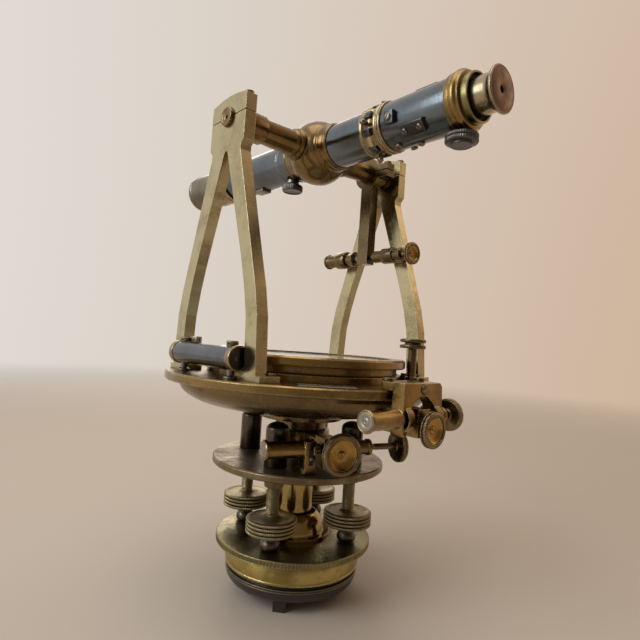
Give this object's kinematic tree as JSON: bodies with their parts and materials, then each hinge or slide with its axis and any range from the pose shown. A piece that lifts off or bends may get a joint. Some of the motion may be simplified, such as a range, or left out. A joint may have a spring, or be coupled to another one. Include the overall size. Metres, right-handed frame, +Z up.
{
  "type": "surveyor's transit",
  "caption": "Surveyor's transit: telescope on two open standards over a compass and horizontal circle, on a ball-jointed levelling head with a threaded base.",
  "frame": {"origin": "on the vertical axis, at the underside of the base dish, where the plumb line's hole opens", "axes": "+X along the telescope's axle towards the standard with the vertical tangent screw, +Y along the level telescope towards the objective, +Z up the vertical axis"},
  "size_m": [0.182, 0.2985, 0.315],
  "materials": {
    "bright_brass": "polished, with a thin worn lacquer",
    "bronzed_brass": "dark lacquer, satin",
    "green_brass": "dull yellow-green patina",
    "gunmetal": "blue-grey finish, satin",
    "black_iron": "dark enamel",
    "blackened": "blue-black",
    "pale_brass": "dull, milled",
    "steel": "turned",
    "blued_steel": "heat blued",
    "silvered": "silvered, matt",
    "glass": "clear"
  },
  "bodies": {
    "base": {"base_dish": "black_iron", "lower_plate": "green_brass", "ball_socket": "green_brass"},
    "slip": {"slip_ring": "bright_brass"},
    "head": {"half_ball": "bright_brass", "upper_plate": "bronzed_brass", "dust_caps": "blackened", "centre_socket": "bronzed_brass", "lower_tangent_block": "bronzed_brass"},
    "shoe_1": {"levelling_shoe_1": "blackened"},
    "screw_1": {"levelling_screw_1": "pale_brass"},
    "shoe_2": {"levelling_shoe_2": "blackened"},
    "screw_2": {"levelling_screw_2": "pale_brass"},
    "shoe_3": {"levelling_shoe_3": "blackened"},
    "screw_3": {"levelling_screw_3": "pale_brass"},
    "shoe_4": {"levelling_shoe_4": "blackened"},
    "screw_4": {"levelling_screw_4": "pale_brass"},
    "low_clamp": {"lower_clamp": "bronzed_brass"},
    "low_clamp_screw": {"lower_clamp_screw": "bronzed_brass"},
    "low_tangent": {"lower_tangent_screw": "steel"},
    "low_knob": {"lower_tangent_knob": "bronzed_brass"},
    "low_plunger": {"lower_plunger": "steel"},
    "limb": {"limb": "bronzed_brass"},
    "alidade": {"vernier_plate": "bronzed_brass", "inner_centre": "steel", "vernier_windows": "glass", "compass_box": "bronzed_brass", "compass_dial": "silvered", "compass_glass": "glass", "standard_left": "bright_brass", "standard_right": "bright_brass", "bearing_caps": "bright_brass", "frame_screws": "bronzed_brass", "plate_level_tube": "gunmetal", "plate_level_vial": "glass", "plate_level_posts": "bronzed_brass", "upper_bracket": "bronzed_brass", "side_tangent_block": "bronzed_brass"},
    "needle": {"compass_needle": "blued_steel"},
    "lift_ring": {"needle_lift_ring": "bronzed_brass"},
    "lifter": {"needle_lifter": "bronzed_brass"},
    "up_clamp": {"upper_clamp": "bronzed_brass"},
    "up_clamp_screw": {"upper_clamp_screw": "bronzed_brass"},
    "up_tangent": {"upper_tangent_screw": "steel"},
    "up_knob": {"upper_tangent_knob": "bronzed_brass"},
    "up_plunger": {"upper_plunger": "steel"},
    "side_clamp": {"side_clamp": "bronzed_brass"},
    "side_clamp_screw": {"side_clamp_screw": "bronzed_brass"},
    "side_tangent": {"side_tangent_screw": "steel"},
    "side_knob": {"side_tangent_knob": "bronzed_brass"},
    "side_plunger": {"side_plunger": "steel"},
    "telescope": {"telescope_tube": "gunmetal", "telescope_axle": "bronzed_brass", "reticle_mount": "blackened"},
    "objective": {"objective_slide": "bronzed_brass", "sunshade": "bright_brass", "objective_lens": "glass"},
    "focus": {"focus_pinion": "blackened"},
    "eyepiece": {"eyepiece_slide": "bronzed_brass"},
    "eye_pinion": {"eyepiece_pinion": "blackened"}
  },
  "joints": [
    {"name": "tilt_first", "type": "hinge", "parent": "base", "child": "slip", "pos_m": [0, 0, 0.0287], "axis": [0.8829, 0.4695, 0], "range_deg": [-3, 3]},
    {"name": "tilt_second", "type": "hinge", "parent": "slip", "child": "head", "pos_m": [0, 0, 0.0287], "axis": [-0.4695, 0.8829, 0], "range_deg": [-3, 3]},
    {"name": "levelling_slide_1", "type": "slide", "parent": "head", "child": "shoe_1", "axis": [0, 0, 1], "range_m": [-0.002, 0.002]},
    {"name": "levelling_turn_1", "type": "hinge", "parent": "shoe_1", "child": "screw_1", "pos_m": [0.03267, 0.01737, 0.0287], "axis": [0, 0, 1], "range_deg": [-720, 720]},
    {"name": "levelling_slide_2", "type": "slide", "parent": "head", "child": "shoe_2", "axis": [0, 0, 1], "range_m": [-0.002, 0.002]},
    {"name": "levelling_turn_2", "type": "hinge", "parent": "shoe_2", "child": "screw_2", "pos_m": [-0.01737, 0.03267, 0.0287], "axis": [0, 0, 1], "range_deg": [-720, 720]},
    {"name": "levelling_slide_3", "type": "slide", "parent": "head", "child": "shoe_3", "axis": [0, 0, 1], "range_m": [-0.002, 0.002]},
    {"name": "levelling_turn_3", "type": "hinge", "parent": "shoe_3", "child": "screw_3", "pos_m": [-0.03267, -0.01737, 0.0287], "axis": [0, 0, 1], "range_deg": [-720, 720]},
    {"name": "levelling_slide_4", "type": "slide", "parent": "head", "child": "shoe_4", "axis": [0, 0, 1], "range_m": [-0.002, 0.002]},
    {"name": "levelling_turn_4", "type": "hinge", "parent": "shoe_4", "child": "screw_4", "pos_m": [0.01737, -0.03267, 0.0287], "axis": [0, 0, 1], "range_deg": [-720, 720]},
    {"name": "low_clamp_swing", "type": "hinge", "parent": "head", "child": "low_clamp", "pos_m": [0, 0, 0.093], "axis": [0, 0, 1], "range_deg": [-2.5, 2.5]},
    {"name": "low_clamp_turn", "type": "hinge", "parent": "low_clamp", "child": "low_clamp_screw", "pos_m": [0, 0, 0.093], "axis": [-0.2924, -0.9563, 0], "range_deg": [-180, 180]},
    {"name": "low_tangent_slide", "type": "slide", "parent": "head", "child": "low_tangent", "axis": [0.9563, -0.2924, 0], "range_m": [-0.002, 0.002]},
    {"name": "low_tangent_turn", "type": "hinge", "parent": "low_tangent", "child": "low_knob", "pos_m": [-0.01286, -0.04208, 0.093], "axis": [0.9563, -0.2924, 0], "range_deg": [-720, 720]},
    {"name": "low_plunger_slide", "type": "slide", "parent": "head", "child": "low_plunger", "axis": [0.9563, -0.2924, 0], "range_m": [-0.002, 0.002]},
    {"name": "limb_turn", "type": "hinge", "parent": "head", "child": "limb", "pos_m": [0, 0, 0.079], "axis": [0, 0, 1], "continuous": true},
    {"name": "alidade_turn", "type": "hinge", "parent": "limb", "child": "alidade", "pos_m": [0, 0, 0.1277], "axis": [0, 0, 1], "continuous": true},
    {"name": "up_clamp_swing", "type": "hinge", "parent": "alidade", "child": "up_clamp", "pos_m": [0, 0, 0.1192], "axis": [0, 0, 1], "range_deg": [-1.15, 1.15]},
    {"name": "up_clamp_turn", "type": "hinge", "parent": "up_clamp", "child": "up_clamp_screw", "pos_m": [0, -0.096, 0.1142], "axis": [0, -1, 0], "range_deg": [-180, 180]},
    {"name": "up_tangent_slide", "type": "slide", "parent": "alidade", "child": "up_tangent", "axis": [1, 0, 0], "range_m": [-0.002, 0.002]},
    {"name": "up_tangent_turn", "type": "hinge", "parent": "up_tangent", "child": "up_knob", "pos_m": [0, -0.096, 0.1192], "axis": [1, 0, 0], "range_deg": [-720, 720]},
    {"name": "up_plunger_slide", "type": "slide", "parent": "alidade", "child": "up_plunger", "axis": [1, 0, 0], "range_m": [-0.002, 0.002]},
    {"name": "needle_swing", "type": "hinge", "parent": "alidade", "child": "needle", "pos_m": [0, 0, 0.133], "axis": [0, 0, 1], "continuous": true},
    {"name": "lifter_turn", "type": "hinge", "parent": "alidade", "child": "lifter", "pos_m": [0.04845, -0.0538, 0.133], "axis": [0, 0, 1], "range_deg": [0, 90]},
    {"name": "needle_lift", "type": "slide", "parent": "alidade", "child": "lift_ring", "axis": [0, 0, 1], "range_m": [0, 0.0009]},
    {"name": "telescope_tilt", "type": "hinge", "parent": "alidade", "child": "telescope", "pos_m": [0, 0, 0.287], "axis": [1, 0, 0], "range_deg": [-50, 226]},
    {"name": "side_clamp_swing", "type": "hinge", "parent": "alidade", "child": "side_clamp", "pos_m": [0.0541, 0, 0.287], "axis": [1, 0, 0], "range_deg": [-1.75, 1.75]},
    {"name": "side_clamp_turn", "type": "hinge", "parent": "side_clamp", "child": "side_clamp_screw", "pos_m": [0.0541, -0.0168, 0.287], "axis": [0, 0, 1], "range_deg": [-180, 180]},
    {"name": "side_tangent_slide", "type": "slide", "parent": "alidade", "child": "side_tangent", "axis": [0, 1, 0], "range_m": [-0.002, 0.002]},
    {"name": "side_tangent_turn", "type": "hinge", "parent": "side_tangent", "child": "side_knob", "pos_m": [0.0541, 0, 0.2224], "axis": [0, 1, 0], "range_deg": [-720, 720]},
    {"name": "side_plunger_slide", "type": "slide", "parent": "alidade", "child": "side_plunger", "axis": [0, 1, 0], "range_m": [-0.002, 0.002]},
    {"name": "focus_slide", "type": "slide", "parent": "telescope", "child": "objective", "axis": [0, 1, 0], "range_m": [0, 0.016]},
    {"name": "focus_turn", "type": "hinge", "parent": "telescope", "child": "focus", "pos_m": [0, 0.027, 0.272], "axis": [0, 0, 1], "range_deg": [0, 390]},
    {"name": "eyepiece_focus", "type": "slide", "parent": "telescope", "child": "eyepiece", "axis": [0, 1, 0], "range_m": [0, 0.005]},
    {"name": "eyepiece_turn", "type": "hinge", "parent": "telescope", "child": "eye_pinion", "pos_m": [0, -0.1145, 0.272], "axis": [0, 0, 1], "range_deg": [0, 125]}
  ],
  "couplings": [
    {"joint": "levelling_slide_1", "follows": "tilt_second", "m_per_rad": 0.037},
    {"joint": "levelling_turn_1", "follows": "tilt_second", "ratio": 232.48},
    {"joint": "levelling_slide_2", "follows": "tilt_first", "m_per_rad": -0.037},
    {"joint": "levelling_turn_2", "follows": "tilt_first", "ratio": -232.48},
    {"joint": "levelling_slide_3", "follows": "tilt_second", "m_per_rad": -0.037},
    {"joint": "levelling_turn_3", "follows": "tilt_second", "ratio": -232.48},
    {"joint": "levelling_slide_4", "follows": "tilt_first", "m_per_rad": 0.037},
    {"joint": "levelling_turn_4", "follows": "tilt_first", "ratio": 232.48},
    {"joint": "low_tangent_slide", "follows": "low_clamp_swing", "m_per_rad": 0.044},
    {"joint": "low_tangent_turn", "follows": "low_clamp_swing", "ratio": 276.46},
    {"joint": "low_plunger_slide", "follows": "low_clamp_swing", "m_per_rad": 0.044},
    {"joint": "up_tangent_slide", "follows": "up_clamp_swing", "m_per_rad": 0.096},
    {"joint": "up_tangent_turn", "follows": "up_clamp_swing", "ratio": 603.19},
    {"joint": "up_plunger_slide", "follows": "up_clamp_swing", "m_per_rad": 0.096},
    {"joint": "needle_lift", "follows": "lifter_turn", "m_per_rad": 0.000541},
    {"joint": "side_tangent_slide", "follows": "side_clamp_swing", "m_per_rad": 0.0646},
    {"joint": "side_tangent_turn", "follows": "side_clamp_swing", "ratio": 405.89},
    {"joint": "side_plunger_slide", "follows": "side_clamp_swing", "m_per_rad": 0.0646},
    {"joint": "focus_turn", "follows": "focus_slide", "rad_per_m": 416.67},
    {"joint": "eyepiece_turn", "follows": "eyepiece_focus", "rad_per_m": 416.67}
  ]
}
